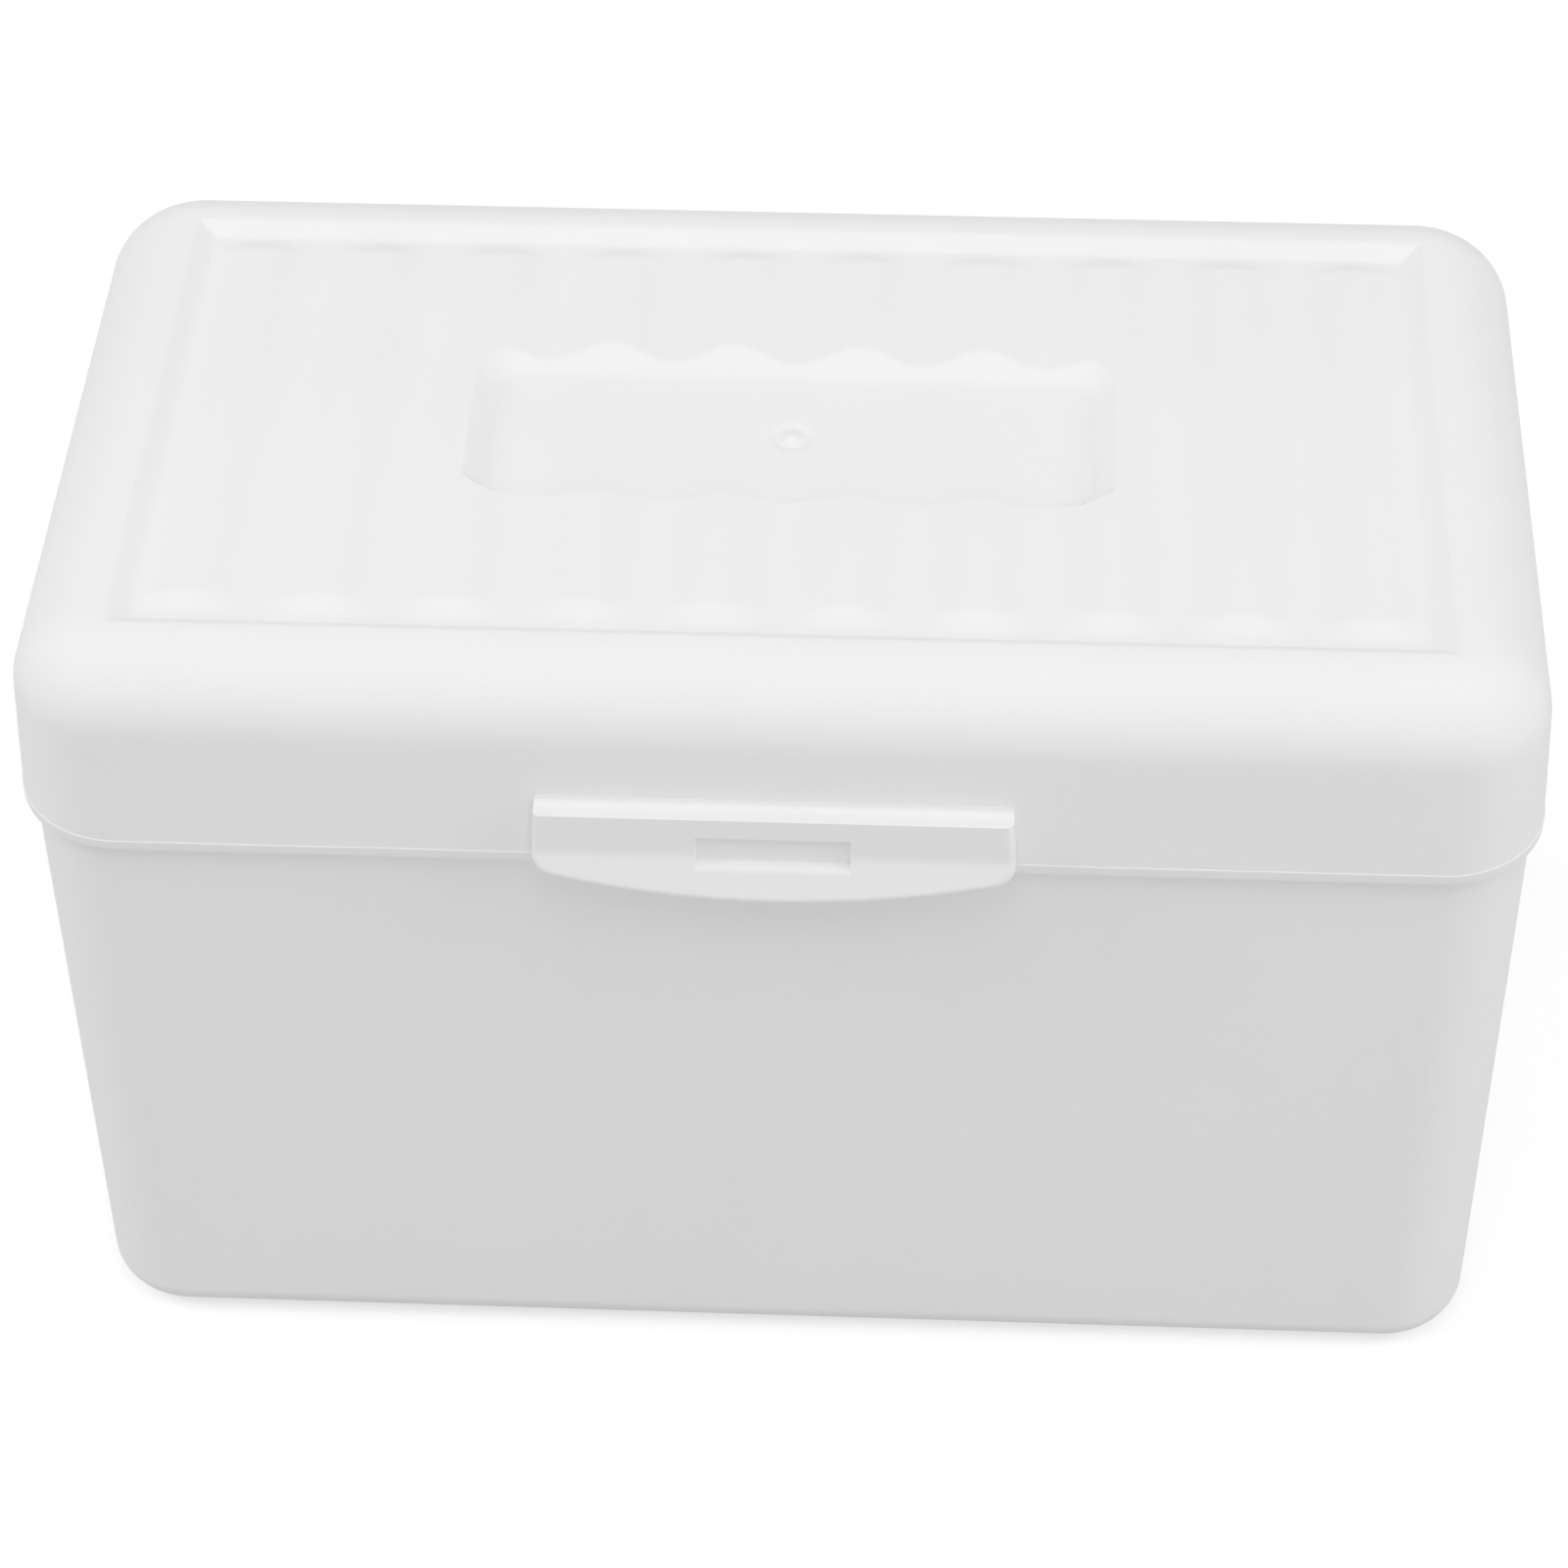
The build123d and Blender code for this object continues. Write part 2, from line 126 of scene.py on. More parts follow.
# %% Values over a surface
class Value:
    """A number that changes over a surface, so that node maths reads as plain maths."""

    def __init__(self, tree, socket):
        self.tree = tree
        self.socket = socket

    def math(self, operation, *others):
        """The Math node's result for this value and the others."""
        node = self.tree.nodes.new("ShaderNodeMath")
        node.operation = operation
        for socket, value in zip(node.inputs, (self, *others)):
            feed(self.tree, socket, value)
        return Value(self.tree, node.outputs[0])

    def __add__(self, other):
        return self.math("ADD", other)

    def __sub__(self, other):
        return self.math("SUBTRACT", other)

    def __mul__(self, other):
        return self.math("MULTIPLY", other)

    def __truediv__(self, other):
        return self.math("DIVIDE", other)

    def __neg__(self):
        return self.math("MULTIPLY", -1.0)

    def between(self, low, high):
        """This value, held between two numbers."""
        return self.math("MAXIMUM", low).math("MINIMUM", high)


print("made the class", Value.__name__)

# %% [markdown]
# ## Node groups with named inputs
# What several pieces share, and what has sizes of its own, goes into a node group: its
# inputs have names, so a maker can turn a value afterwards without hunting for a node.


# %% Node groups
def new_group(name, tree_type, inputs, outputs):
    """A node group with named sockets: inputs is {name: (type, default)}."""
    tree = bpy.data.node_groups.new(name, tree_type)
    for socket_name, (kind, default) in inputs.items():
        made = tree.interface.new_socket(socket_name, in_out="INPUT", socket_type=kind)
        if default is not None:
            made.default_value = default
    for socket_name, kind in outputs.items():
        tree.interface.new_socket(socket_name, in_out="OUTPUT", socket_type=kind)
    return tree, tree.nodes.new("NodeGroupInput"), tree.nodes.new("NodeGroupOutput")


print("made the helper", new_group.__name__)

# %% [markdown]
# ## The floor
# The box stands on a plain pale sheet. A curved backdrop would do, but the ground shows no
# horizon in this view, so one wide square is enough.

# %% Floor plane
FLOOR_HALF = 8.0


def placed(name, data):
    """A new object in the scene, at the origin."""
    made = bpy.data.objects.new(name, data)
    bpy.context.scene.collection.objects.link(made)
    return made


floor_mesh = bpy.data.meshes.new("floor")
floor_signs = ((-1, -1), (1, -1), (1, 1), (-1, 1))
floor_corners = [(x * FLOOR_HALF, y * FLOOR_HALF, 0) for x, y in floor_signs]
floor_mesh.from_pydata(floor_corners, [], [(0, 1, 2, 3)])
floor = placed("floor", floor_mesh)
print("floor of", 2 * FLOOR_HALF, "m a side")

# %% [markdown]
# ## A ground that turns white
# The ground in the photograph is plain white, and yet the box needs its shadow to stand on
# something. More light would whiten the floor and burn out the box. So the floor glows a
# little, only for rays that show it, and further out the glow rises until it is plain
# white. For all other rays it stays a pale sheet that throws soft light on the box.

# %% Floor finish
FLOOR_COLOR = 0.57
FLOOR_SHOWN = 0.5
FLOOR_GLOW = 0.56
FLOOR_ROUGHNESS = 0.9
FLOOR_GLOSS = 0.1
WHITE_FROM = 0.25
WHITE_AT = 0.75


def new_material(name):
    """A new node material, with its tree and its shader."""
    material = bpy.data.materials.new(name)
    material.use_nodes = True
    return material, material.node_tree, material.node_tree.nodes["Principled BSDF"]


def object_place(tree):
    """The place on the piece, in metres."""
    return add_node(tree, "ShaderNodeTexCoord").outputs["Object"]


def shown_rays(tree):
    """One for rays that show a thing, straight or in a reflection, and zero for the rest."""
    path = add_node(tree, "ShaderNodeLightPath")
    shown = Value(tree, path.outputs["Is Camera Ray"])
    for ray in ("Is Glossy Ray", "Is Transmission Ray"):
        shown = shown.math("MAXIMUM", path.outputs[ray])
    return shown


pale_floor, tree, shader = new_material("pale_floor")
shader.inputs["Roughness"].default_value = FLOOR_ROUGHNESS
shader.inputs["Specular IOR Level"].default_value = FLOOR_GLOSS
shader.inputs["Emission Strength"].default_value = 1.0
seen = shown_rays(tree)
spot = {"Vector": object_place(tree)}
away = add_node(tree, "ShaderNodeVectorMath", spot, operation="LENGTH").outputs["Value"]
far = ((Value(tree, away) - WHITE_FROM) / (WHITE_AT - WHITE_FROM)).between(0.0, 1.0)
shown_color = (-far + 1.0) * FLOOR_SHOWN
glow = far * (1 - FLOOR_GLOW) + FLOOR_GLOW
feed(tree, shader.inputs["Base Color"], seen * (shown_color - FLOOR_COLOR) + FLOOR_COLOR)
feed(tree, shader.inputs["Emission Color"], seen * glow)
floor_mesh.materials.append(pale_floor)
print("the floor turns white from", WHITE_FROM, "to", WHITE_AT, "m out")

# %% [markdown]
# ## Even light from all round
# The photograph's light is very soft: no shadow has an edge. A white room gives that, and
# the world's background is such a room. Rays that show it see plain white. The box gets
# only about half of that, so that the lamps can still shape it.

# %% World
SKY_LIGHT = 0.485
WHITE = (1, 1, 1, 1)

world = bpy.data.worlds.new("soft_room")
world.use_nodes = True
bpy.context.scene.world = world
sky = world.node_tree.nodes["Background"]
sky_strength = shown_rays(world.node_tree) * (1 - SKY_LIGHT) + SKY_LIGHT
feed(world.node_tree, sky.inputs["Strength"], sky_strength)
sky.inputs["Color"].default_value = WHITE
print("light from the room", SKY_LIGHT)

# %% [markdown]
# ## Five wide lamps
# In the photograph the top is lightest, both sides are nearly as light, and the front is
# about a tenth darker. One strong lamp in front would make the front as light as the top.
# One lamp high over the front, a low one in front, one at each side and a faint one behind
# give those tones, and each is wide enough for soft shadows.

# %% Lamps
LAMP_SIZE = 0.6
LAMP_AIM = Vector((0, 0, 0.05))
LAMPS = (
    ("front_lamp", (0, -0.4, 1.05), 2.15),
    ("low_lamp", (0.12, -1.0, 0.39), 1.65),
    ("back_lamp", (0, 0.9, 0.8), 0.36),
    ("left_lamp", (-0.85, 0, 0.65), 3.3),
    ("right_lamp", (0.85, -0.12, 0.6), 2.85),
)

for name, lamp_place, power in LAMPS:
    lamp_data = bpy.data.lights.new(name, "AREA")
    lamp_data.size = LAMP_SIZE
    lamp_data.energy = power
    lamp = placed(name, lamp_data)
    lamp.location = lamp_place
    lamp.rotation_euler = (LAMP_AIM - lamp.location).to_track_quat("-Z", "Y").to_euler()
    lamp.visible_camera = False
print(len(LAMPS), "lamps with", round(sum(power for _, _, power in LAMPS), 2), "W in all")

# %% [markdown]
# ## Grain of moulded plastic
# The box is white polypropylene from a mould whose faces were etched matt. Up close such a
# face has a fine even grain, and its colour drifts a little where the melt flowed. Pictures
# of a surface could bring that, but noise at the right sizes needs no picture and fits
# every piece. Two plastics and the steel use it, so it is a group with two named sizes.

# %% Grain group
MATERIAL_UNIT = 1 / MM


def size_to_scale(size):
    """Turns a size in millimetres into a texture's scale on coordinates in metres."""
    return size.math("POWER", -1.0) * MATERIAL_UNIT


def noise(tree, place, **inputs):
    """Noise from 0 to 1 at a place, with the texture's inputs by name."""
    named = {name.capitalize(): value for name, value in inputs.items()}
    texture = add_node(tree, "ShaderNodeTexNoise", {"Vector": place, **named})
    return Value(tree, texture.outputs[0])


grain_tree, grain_in, grain_out = new_group(
    "moulded_grain",
    "ShaderNodeTree",
    {"Grain Size": ("NodeSocketFloat", 0.3), "Drift Size": ("NodeSocketFloat", 30.0)},
    {"Grain": "NodeSocketFloat", "Drift": "NodeSocketFloat"},
)
grain_scale = size_to_scale(Value(grain_tree, grain_in.outputs["Grain Size"]))
drift_scale = size_to_scale(Value(grain_tree, grain_in.outputs["Drift Size"]))
spot = object_place(grain_tree)
grain = noise(grain_tree, spot, scale=grain_scale, detail=2.0, roughness=0.6)
drift = noise(grain_tree, spot, scale=drift_scale, detail=3.0, distortion=0.6)
feed(grain_tree, grain_out.inputs["Grain"], grain)
feed(grain_tree, grain_out.inputs["Drift"], drift)
print("grain group has", len(grain_tree.nodes), "nodes")

# %% [markdown]
# ## Hair scratches
# Use leaves short hair scratches on a box that is slid about a desk. They lie in a few
# directions and only in patches. Noise that is stretched long and thin gives such lines
# where only its peaks are kept. Three directions together, held back by a wide patchy
# noise, look like wear and never repeat.

# %% Scratch group
SCRATCH_LENGTH = 14.0
SCRATCH_WIDTH = 0.16
SCRATCH_TURNS = (0.5, 1.9, 2.6)
TURN_SHARES = (0.7, 0.3, 1.0)
PEAK_FROM, PEAK_GAIN = 0.68, 12.0
PATCH_FROM, PATCH_GAIN = 0.42, 4.0


def stretched_place(tree, sizes, turns=(0, 0, 0)):
    """The place on the piece, counted in steps of three sizes in mm, along turned axes."""
    scale = [MATERIAL_UNIT / size for size in sizes]
    inputs = {"Vector": object_place(tree), "Rotation": turns, "Scale": scale}
    return add_node(tree, "ShaderNodeMapping", inputs).outputs[0]


def peaks(value, start, gain):
    """Only what lies above start, made stronger."""
    return ((value - start) * gain).math("MAXIMUM", 0.0)


scratch_tree, scratch_in, scratch_out = new_group(
    "hair_scratches",
    "ShaderNodeTree",
    {"Amount": ("NodeSocketFloat", 0.5), "Patch Size": ("NodeSocketFloat", 25.0)},
    {"Scratches": "NodeSocketFloat"},
)
patch_scale = size_to_scale(Value(scratch_tree, scratch_in.outputs["Patch Size"]))
patches = noise(scratch_tree, object_place(scratch_tree), scale=patch_scale)
scratch_sizes = (SCRATCH_LENGTH, SCRATCH_WIDTH, SCRATCH_LENGTH)
lines = None
for turn in SCRATCH_TURNS:
    turns = [share * turn for share in TURN_SHARES]
    along = stretched_place(scratch_tree, scratch_sizes, turns)
    thin = peaks(noise(scratch_tree, along, scale=1.0, detail=1.0), PEAK_FROM, PEAK_GAIN)
    lines = thin if lines is None else lines.math("MAXIMUM", thin)
scratches = lines * peaks(patches, PATCH_FROM, PATCH_GAIN) * scratch_in.outputs["Amount"]
feed(scratch_tree, scratch_out.inputs["Scratches"], scratches.math("MINIMUM", 1.0))
print("scratch group has", len(scratch_tree.nodes), "nodes")

# %% [markdown]
# ## The two plastics
# Tub, lid and latch are the same white polypropylene, and the dividers are cut from a
# slightly greyer sheet. Both are dull: their gloss is broad and never mirrors. The drift
# changes colour and gloss a little, scratches are duller than the rest, and grain and
# scratches together give the fine bump. Numbers that are the same all over stay on the
# shader's own sockets.

# %% Plastic
COLOR_DRIFT = 0.03
GLOSS_DRIFT = 0.08
SCRATCH_DULLING = 0.15
PLASTIC_IOR = 1.49
PLASTIC_GLOSS = 0.35


def set_bump(tree, shader, height, depth):
    """Gives a shader a bump of a height from 0 to 1, depth millimetres deep."""
    bump = add_node(tree, "ShaderNodeBump", {"Height": height, "Distance": depth * MM})
    bump.inputs["Strength"].default_value = 1.0
    feed(tree, shader.inputs["Normal"], bump.outputs[0])


def plastic(name, color, roughness, grain_size, grain_depth, wear):
    """A matt moulded plastic. Grain size and depth are in millimetres."""
    material, tree, shader = new_material(name)
    etched = add_node(tree, "ShaderNodeGroup", node_tree=grain_tree)
    etched.inputs["Grain Size"].default_value = grain_size
    worn = add_node(tree, "ShaderNodeGroup", node_tree=scratch_tree)
    worn.inputs["Amount"].default_value = wear
    drift = Value(tree, etched.outputs["Drift"]) - 0.5
    scratches = Value(tree, worn.outputs["Scratches"])
    feed(tree, shader.inputs["Base Color"], drift * (COLOR_DRIFT * color) + color)
    rough = drift * GLOSS_DRIFT + scratches * SCRATCH_DULLING + roughness
    feed(tree, shader.inputs["Roughness"], rough)
    set_bump(tree, shader, Value(tree, etched.outputs["Grain"]) - scratches, grain_depth)
    shader.inputs["IOR"].default_value = PLASTIC_IOR
    shader.inputs["Specular IOR Level"].default_value = PLASTIC_GLOSS
    return material


white_plastic = plastic(
    "white_polypropylene", color=0.84, roughness=0.66, grain_size=0.3, grain_depth=0.006, wear=0.5
)
sheet_plastic = plastic(
    "divider_sheet", color=0.8, roughness=0.6, grain_size=0.5, grain_depth=0.01, wear=0.25
)
print("plastics", white_plastic.name, sheet_plastic.name)

# %% [markdown]
# ## Drawn steel wire
# The hinge pins are cut from drawn wire. The die leaves fine lines along the wire, and a
# thin film of oil and dust makes it a little duller in places. The wire lies along X, so
# the same stretched noise as for the scratches gives the lines, and the drift of the grain
# group, made small, gives the film.

# %% Steel
WIRE_LINE_LENGTH = 9.0
WIRE_LINE_WIDTH = 0.12
WIRE_LINE_DEPTH = 0.004
FILM_SIZE = 3.0
STEEL_COLOR, FILM_TINT = 0.6, 0.12
STEEL_ROUGHNESS, LINE_DULLING, FILM_DULLING = 0.22, 0.2, 0.2

pin_steel, tree, shader = new_material("pin_steel")
wire_sizes = (WIRE_LINE_LENGTH, WIRE_LINE_WIDTH, WIRE_LINE_WIDTH)
wire_lines = noise(tree, stretched_place(tree, wire_sizes), scale=1.0)
film_group = add_node(tree, "ShaderNodeGroup", node_tree=grain_tree)
film_group.inputs["Drift Size"].default_value = FILM_SIZE
film = Value(tree, film_group.outputs["Drift"])
rough = (wire_lines - 0.5) * LINE_DULLING + film * FILM_DULLING + STEEL_ROUGHNESS
feed(tree, shader.inputs["Base Color"], (film - 0.5) * FILM_TINT + STEEL_COLOR)
feed(tree, shader.inputs["Roughness"], rough)
set_bump(tree, shader, wire_lines, WIRE_LINE_DEPTH)
shader.inputs["Metallic"].default_value = 1.0
print("materials", [material.name for material in bpy.data.materials])

# %% [markdown]
# ## The CAD pieces that stay
# The tub, the latch, the dividers and the pins already have the right shape. Their packed
# meshes are loose triangles. They could be drawn again by hand, but three live modifiers
# finish them and leave the CAD shape alone: the corners are welded, edges that are meant
# to be crisp are split, and each corner's shading follows its largest face, so that flat
# walls look flat and rounds look round.

# %% Finish CAD nodes
WELD_REACH = 0.002
CRISP_EDGE = radians(32)
SHADE_WEIGHT = 50
OTHER_FINISHES = {"divider": sheet_plastic, "hinge": pin_steel}


def finish_node(node, material):
    """Welds and shades a CAD node and gives it its material."""
    weld = node.modifiers.new("weld", "WELD")
    weld.merge_threshold = WELD_REACH * MM
    split = node.modifiers.new("crisp_edges", "EDGE_SPLIT")
    split.split_angle = CRISP_EDGE
    shade = node.modifiers.new("even_shading", "WEIGHTED_NORMAL")
    shade.mode = "FACE_AREA"
    shade.weight = SHADE_WEIGHT
    for slot in node.material_slots:
        slot.material = material


for name, node in nodes.items():
    finish_node(node, OTHER_FINISHES.get(name.split("_")[0], white_plastic))
print("finished", sorted(nodes))

# %% [markdown]
# ## The lid's main sizes
# The lid is a thin moulded cap: a skirt with three degrees of draft, a wide round and a
# flat top. The CAD lid has the same form, but its relief has no soft edges and its skirt
# no parting line. The lid is the piece that the eye goes to, so its shell is built again
# with both. All its sizes are millimetres in the CAD's frame.

# %% Lid sizes
LID_HALF_WIDTH = 72.5
LID_HALF_DEPTH = 40.2
LID_CORNER = 10.3
RIM_Z = 69.4
TOP_Z = 90.4
CEILING_Z = 87.85
WALL = 1.5
DRAFT = tan(radians(3.0))
TOP_ROUND = 7.8
RIM_ROUND = 0.15
print("lid in mm", 2 * LID_HALF_WIDTH, "by", 2 * LID_HALF_DEPTH, "by", round(TOP_Z - RIM_Z, 2))

# %% [markdown]
# ## The skirt's profile
# Every level line of the skirt and of the rounded top edge is the same rounded rectangle,
# only drawn in by a little more. So a profile says it all: at each height, how far the
# line is drawn in. A bevel on a box would give rounds too, but not this draft, and not the
# two different rounds at the corners. Small functions turn each round into profile points.


# %% Profile helpers
def drawn_in(z):
    """How far the drafted skirt is drawn in at a height."""
    return (z - RIM_Z) * DRAFT


def round_over(start, top, radius, steps):
    """Profile points of the round between a drafted wall and a flat face above it.

    start is how far the wall is drawn in at the rim's height."""
    middle_z = top - radius
    middle = start + drawn_in(middle_z) + radius * sqrt(1 + DRAFT * DRAFT)
    first = pi - atan2(DRAFT, 1)
    turns = [first + (pi / 2 - first) * step / steps for step in range(steps + 1)]
    return [(middle + radius * cos(turn), middle_z + radius * sin(turn)) for turn in turns]


def corner_round(middle, z, radius, first, last, steps=4):
    """Profile points of a small round about (middle, z), from one angle to another."""
    turns = [radians(first + (last - first) * step / steps) for step in range(steps + 1)]
    return [(middle + radius * cos(turn), z + radius * sin(turn)) for turn in turns]


print("drawn in at the top by", round(drawn_in(TOP_Z), 2), "mm")

# %% [markdown]
# ## Outside, with the parting line
# Where the two halves of the mould meet, just above the rim, the skirt has a fine step.
# Below it the draft turns round, so that narrow band is a shade darker and the step shows
# as a thin light line. Modelled as real shape, it catches the light from any side. A few
# rings close to each bend keep the shading of the long walls straight.

# %% Outer profile
BAND_TOP_Z = RIM_Z + 1.15
BAND_PROUD = 0.07
BAND_LEAN = 0.03
RING_OVER_BAND = 0.6
RING_OVER_RIM = 6
RING_BELOW_ROUND = 0.4
RING_ON_FLAT = 0.15
ROUND_STEPS = 14

skirt_rings = (
    BAND_TOP_Z + RING_OVER_BAND,
    RIM_Z + RING_OVER_RIM,
    TOP_Z - TOP_ROUND - RING_BELOW_ROUND,
)

rim_corner = corner_round(RIM_ROUND, RIM_Z + RIM_ROUND, RIM_ROUND, 270, 180)
outer_profile = [(inset + BAND_LEAN, z) for inset, z in rim_corner]
outer_profile.append((drawn_in(BAND_TOP_Z) - BAND_PROUD, BAND_TOP_Z))
outer_profile.append((drawn_in(BAND_TOP_Z), BAND_TOP_Z + BAND_PROUD))
outer_profile += [(drawn_in(z), z) for z in skirt_rings]
outer_profile += round_over(0, TOP_Z, TOP_ROUND, ROUND_STEPS)
outer_profile.append((outer_profile[-1][0] + RING_ON_FLAT, TOP_Z))
print("outer profile has", len(outer_profile), "points")

# %% [markdown]
# ## Inside
# Moulded walls have one thickness, or they sink while they cool. So the inside follows the
# outside at that distance, with the smaller round that this leaves. The ceiling hangs lower
# still, because the relief takes its depth out of the top. Half as many steps as outside
# are enough where only an open lid shows them.

# %% Inner profile
inner_wall_top = CEILING_Z - TOP_ROUND + WALL - RING_BELOW_ROUND

inner_profile = corner_round(WALL - RIM_ROUND, RIM_Z + RIM_ROUND, RIM_ROUND, 270, 360)
inner_profile.append((WALL + drawn_in(inner_wall_top), inner_wall_top))
inner_profile += round_over(WALL, CEILING_Z, TOP_ROUND - WALL, ROUND_STEPS // 2)
inner_profile.append((inner_profile[-1][0] + RING_ON_FLAT, CEILING_Z))
print("inner profile has", len(inner_profile), "points")

# %% [markdown]
# ## Rounded rectangles
# Seen from above, the lid is a rectangle with round corners. Each ring of the shell is one
# such outline. All of them get the same number of points, so that each ring joins to the
# next with plain quads.

# %% Rings
SIDE_STEP = 3.0
CORNER_STEPS = 18


def spread(first, last, step):
    """Evenly spaced numbers from first to last, about step apart, without the last."""
    count = max(1, round(abs(last - first) / step))
    return [first + (last - first) * i / count for i in range(count)]


def arc_points(x, y, radius, first, steps):
    """Points of a quarter turn about (x, y), without its last."""
    turns = [first + pi / 2 * step / steps for step in range(steps)]
    return [(x + radius * cos(turn), y + radius * sin(turn)) for turn in turns]


def rounded_ring(half_x, half_y, corner, side_step=SIDE_STEP, corner_steps=CORNER_STEPS):
    """Points of a rounded rectangle, counter-clockwise from the front's left end."""
    flat_x, flat_y = half_x - corner, half_y - corner
    points = [(x, -half_y) for x in spread(-flat_x, flat_x, side_step)]
    points += arc_points(flat_x, -flat_y, corner, -pi / 2, corner_steps)
    points += [(half_x, y) for y in spread(-flat_y, flat_y, side_step)]
    points += arc_points(flat_x, flat_y, corner, 0, corner_steps)
    points += [(x, half_y) for x in spread(flat_x, -flat_x, side_step)]
    points += arc_points(-flat_x, flat_y, corner, pi / 2, corner_steps)
    points += [(-half_x, y) for y in spread(flat_y, -flat_y, side_step)]
    points += arc_points(-flat_x, -flat_y, corner, pi, corner_steps)
    return points


def lid_ring(inset):
    """The lid's plan outline, drawn in by inset."""
    return rounded_ring(LID_HALF_WIDTH - inset, LID_HALF_DEPTH - inset, LID_CORNER - inset)


print("the rim's ring has", len(lid_ring(0)), "points")

# %% [markdown]
# ## Collecting a mesh
# A shell of several stretches needs one list of points that all of them share, or it gets
# seams. This class keeps that list, joins rings with quads and fills flat stretches. The
# fill is Blender's own triangulation with fixed edges, since a flat face with a hole in it
# can't be one polygon.

# %% Sheet
SAME_PLACE = 1e-6


class Sheet:
    """Collects points and faces of one mesh, in millimetres."""

    def __init__(self):
        self.points = []
        self.faces = []

    def add(self, points):
        """Adds points and gives their numbers."""
        first = len(self.points)
        self.points += points
        return list(range(first, len(self.points)))

    def ring(self, outline, z):
        """Adds a closed line of points at one height, and gives their numbers."""
        return self.add([(x, y, z) for x, y in outline])

    def bridge(self, below, above):
        """Joins two rings with quads that face outwards when above lies further up."""
        for i in range(len(below)):
            j = (i + 1) % len(below)
            self.faces.append((below[i], below[j], above[j], above[i]))

    def fill_between(self, outer, inner, upwards):
        """Fills the flat space between two rings, or inside one where inner is None."""
        numbers = outer + (inner or [])
        flat = [Vector(self.points[n][:2]) for n in numbers]
        loops = [list(range(len(outer)))]
        if inner:
            loops.append(list(range(len(outer), len(numbers))))
        edges = [(loop[i], loop[(i + 1) % len(loop)]) for loop in loops for i in range(len(loop))]
        _, _, triangles, came_from, _, _ = delaunay_2d_cdt(flat, edges, [], 0, SAME_PLACE)
        back = [numbers[group[0]] for group in came_from]
        hole = set(inner or [])
        for triangle in triangles:
            corners = [back[t] for t in triangle]
            if inner and all(c in hole for c in corners):
                continue
            a, b, c = (self.points[n] for n in corners)
            turn = (b[0] - a[0]) * (c[1] - a[1]) - (b[1] - a[1]) * (c[0] - a[0])
            self.faces.append(tuple(corners if (turn > 0) == upwards else corners[::-1]))

    def mesh(self, name):
        """The mesh in metres."""
        made = bpy.data.meshes.new(name)
        made.from_pydata([(x * MM, y * MM, z * MM) for x, y, z in self.points], [], self.faces)
        made.validate()
        return made


print("made the class", Sheet.__name__)

# %% [markdown]
# ## The blank's walls
# The lid starts as a smooth blank, as if the mould had no relief yet. Outer rings run up
# the skirt and over the round, inner rings run up inside, and one more strip of quads
# closes the rim between them.

# %% Blank walls
blank = Sheet()
outer_rings = [blank.ring(lid_ring(inset), z) for inset, z in outer_profile]
inner_rings = [blank.ring(lid_ring(inset), z) for inset, z in inner_profile]
for below, above in zip(outer_rings, outer_rings[1:]):
    blank.bridge(below, above)
for below, above in zip(inner_rings, inner_rings[1:]):
    blank.bridge(above, below)
blank.bridge(inner_rings[0], outer_rings[0])
print("walls have", len(blank.faces), "quads")

# %% [markdown]
# ## The flat top's grid
# The relief will lift and sink the points of the flat top, so it can only be as fine as
# they are. An even grid as fine as the finest part would take half a million faces. Here
# the lines stand close together only where the relief has edges: at the field's wall, at
# the pocket and at the gate's mark.

# %% Grid of the flat top
GRID_HALF_X = 62.8
GRID_HALF_Y = 31.35
X_ZONES = (
    (0, 3.0, 0.2),
    (3.0, 28.4, 0.6),
    (28.4, 32.2, 0.2),
    (32.2, 59.8, 0.55),
    (59.8, GRID_HALF_X, 0.2),
)
Y_ZONES = (
    (0, 3.0, 0.2),
    (3.0, 8.4, 0.6),
    (8.4, 10.2, 0.2),
    (10.2, 12.4, 0.12),
    (12.4, 25.2, 0.6),
    (25.2, GRID_HALF_Y, 0.2),
)


def grid_lines(zones):
    """Places of the grid's lines on both sides of the middle: zones are (from, to, step)."""
    half = [v for first, last, step in zones for v in spread(first, last, step)] + [zones[-1][1]]
    return [-v for v in reversed(half[1:])] + half


def add_grid(sheet, columns, rows, z):
    """Adds a grid of quads that face up, and gives the numbers of the points on its edge."""
    across = len(columns)
    first = sheet.add([(x, y, z) for y in rows for x in columns])[0]
    for row in range(len(rows) - 1):
        for column in range(across - 1):
            n = first + row * across + column
            sheet.faces.append((n, n + 1, n + 1 + across, n + across))
    last = first + (len(rows) - 1) * across
    edge = list(range(first, first + across - 1))
    edge += [first + row * across + across - 1 for row in range(len(rows) - 1)]
    edge += list(range(last + across - 1, last, -1))
    edge += [first + row * across for row in range(len(rows) - 1, 0, -1)]
    return edge


grid_edge = add_grid(blank, grid_lines(X_ZONES), grid_lines(Y_ZONES), TOP_Z)
blank.fill_between(outer_rings[-1], grid_edge, upwards=True)
print("grid has", len(grid_lines(X_ZONES)), "by", len(grid_lines(Y_ZONES)), "lines")

# %% [markdown]
# ## The ceiling under the pocket
# The label pocket is pressed deeper than the waves, so the ceiling has to hang lower there
# or the wall would get too thin. The mould's core has a shallow hollow for it. Here it is
# one more small rounded outline, let down by its depth.

# %% Ceiling
BOSS_HALF_X = 32.8
BOSS_HALF_Y = 12.9
BOSS_Y = 0.5
BOSS_CORNER = 3.9
BOSS_CEILING_Z = 87.15

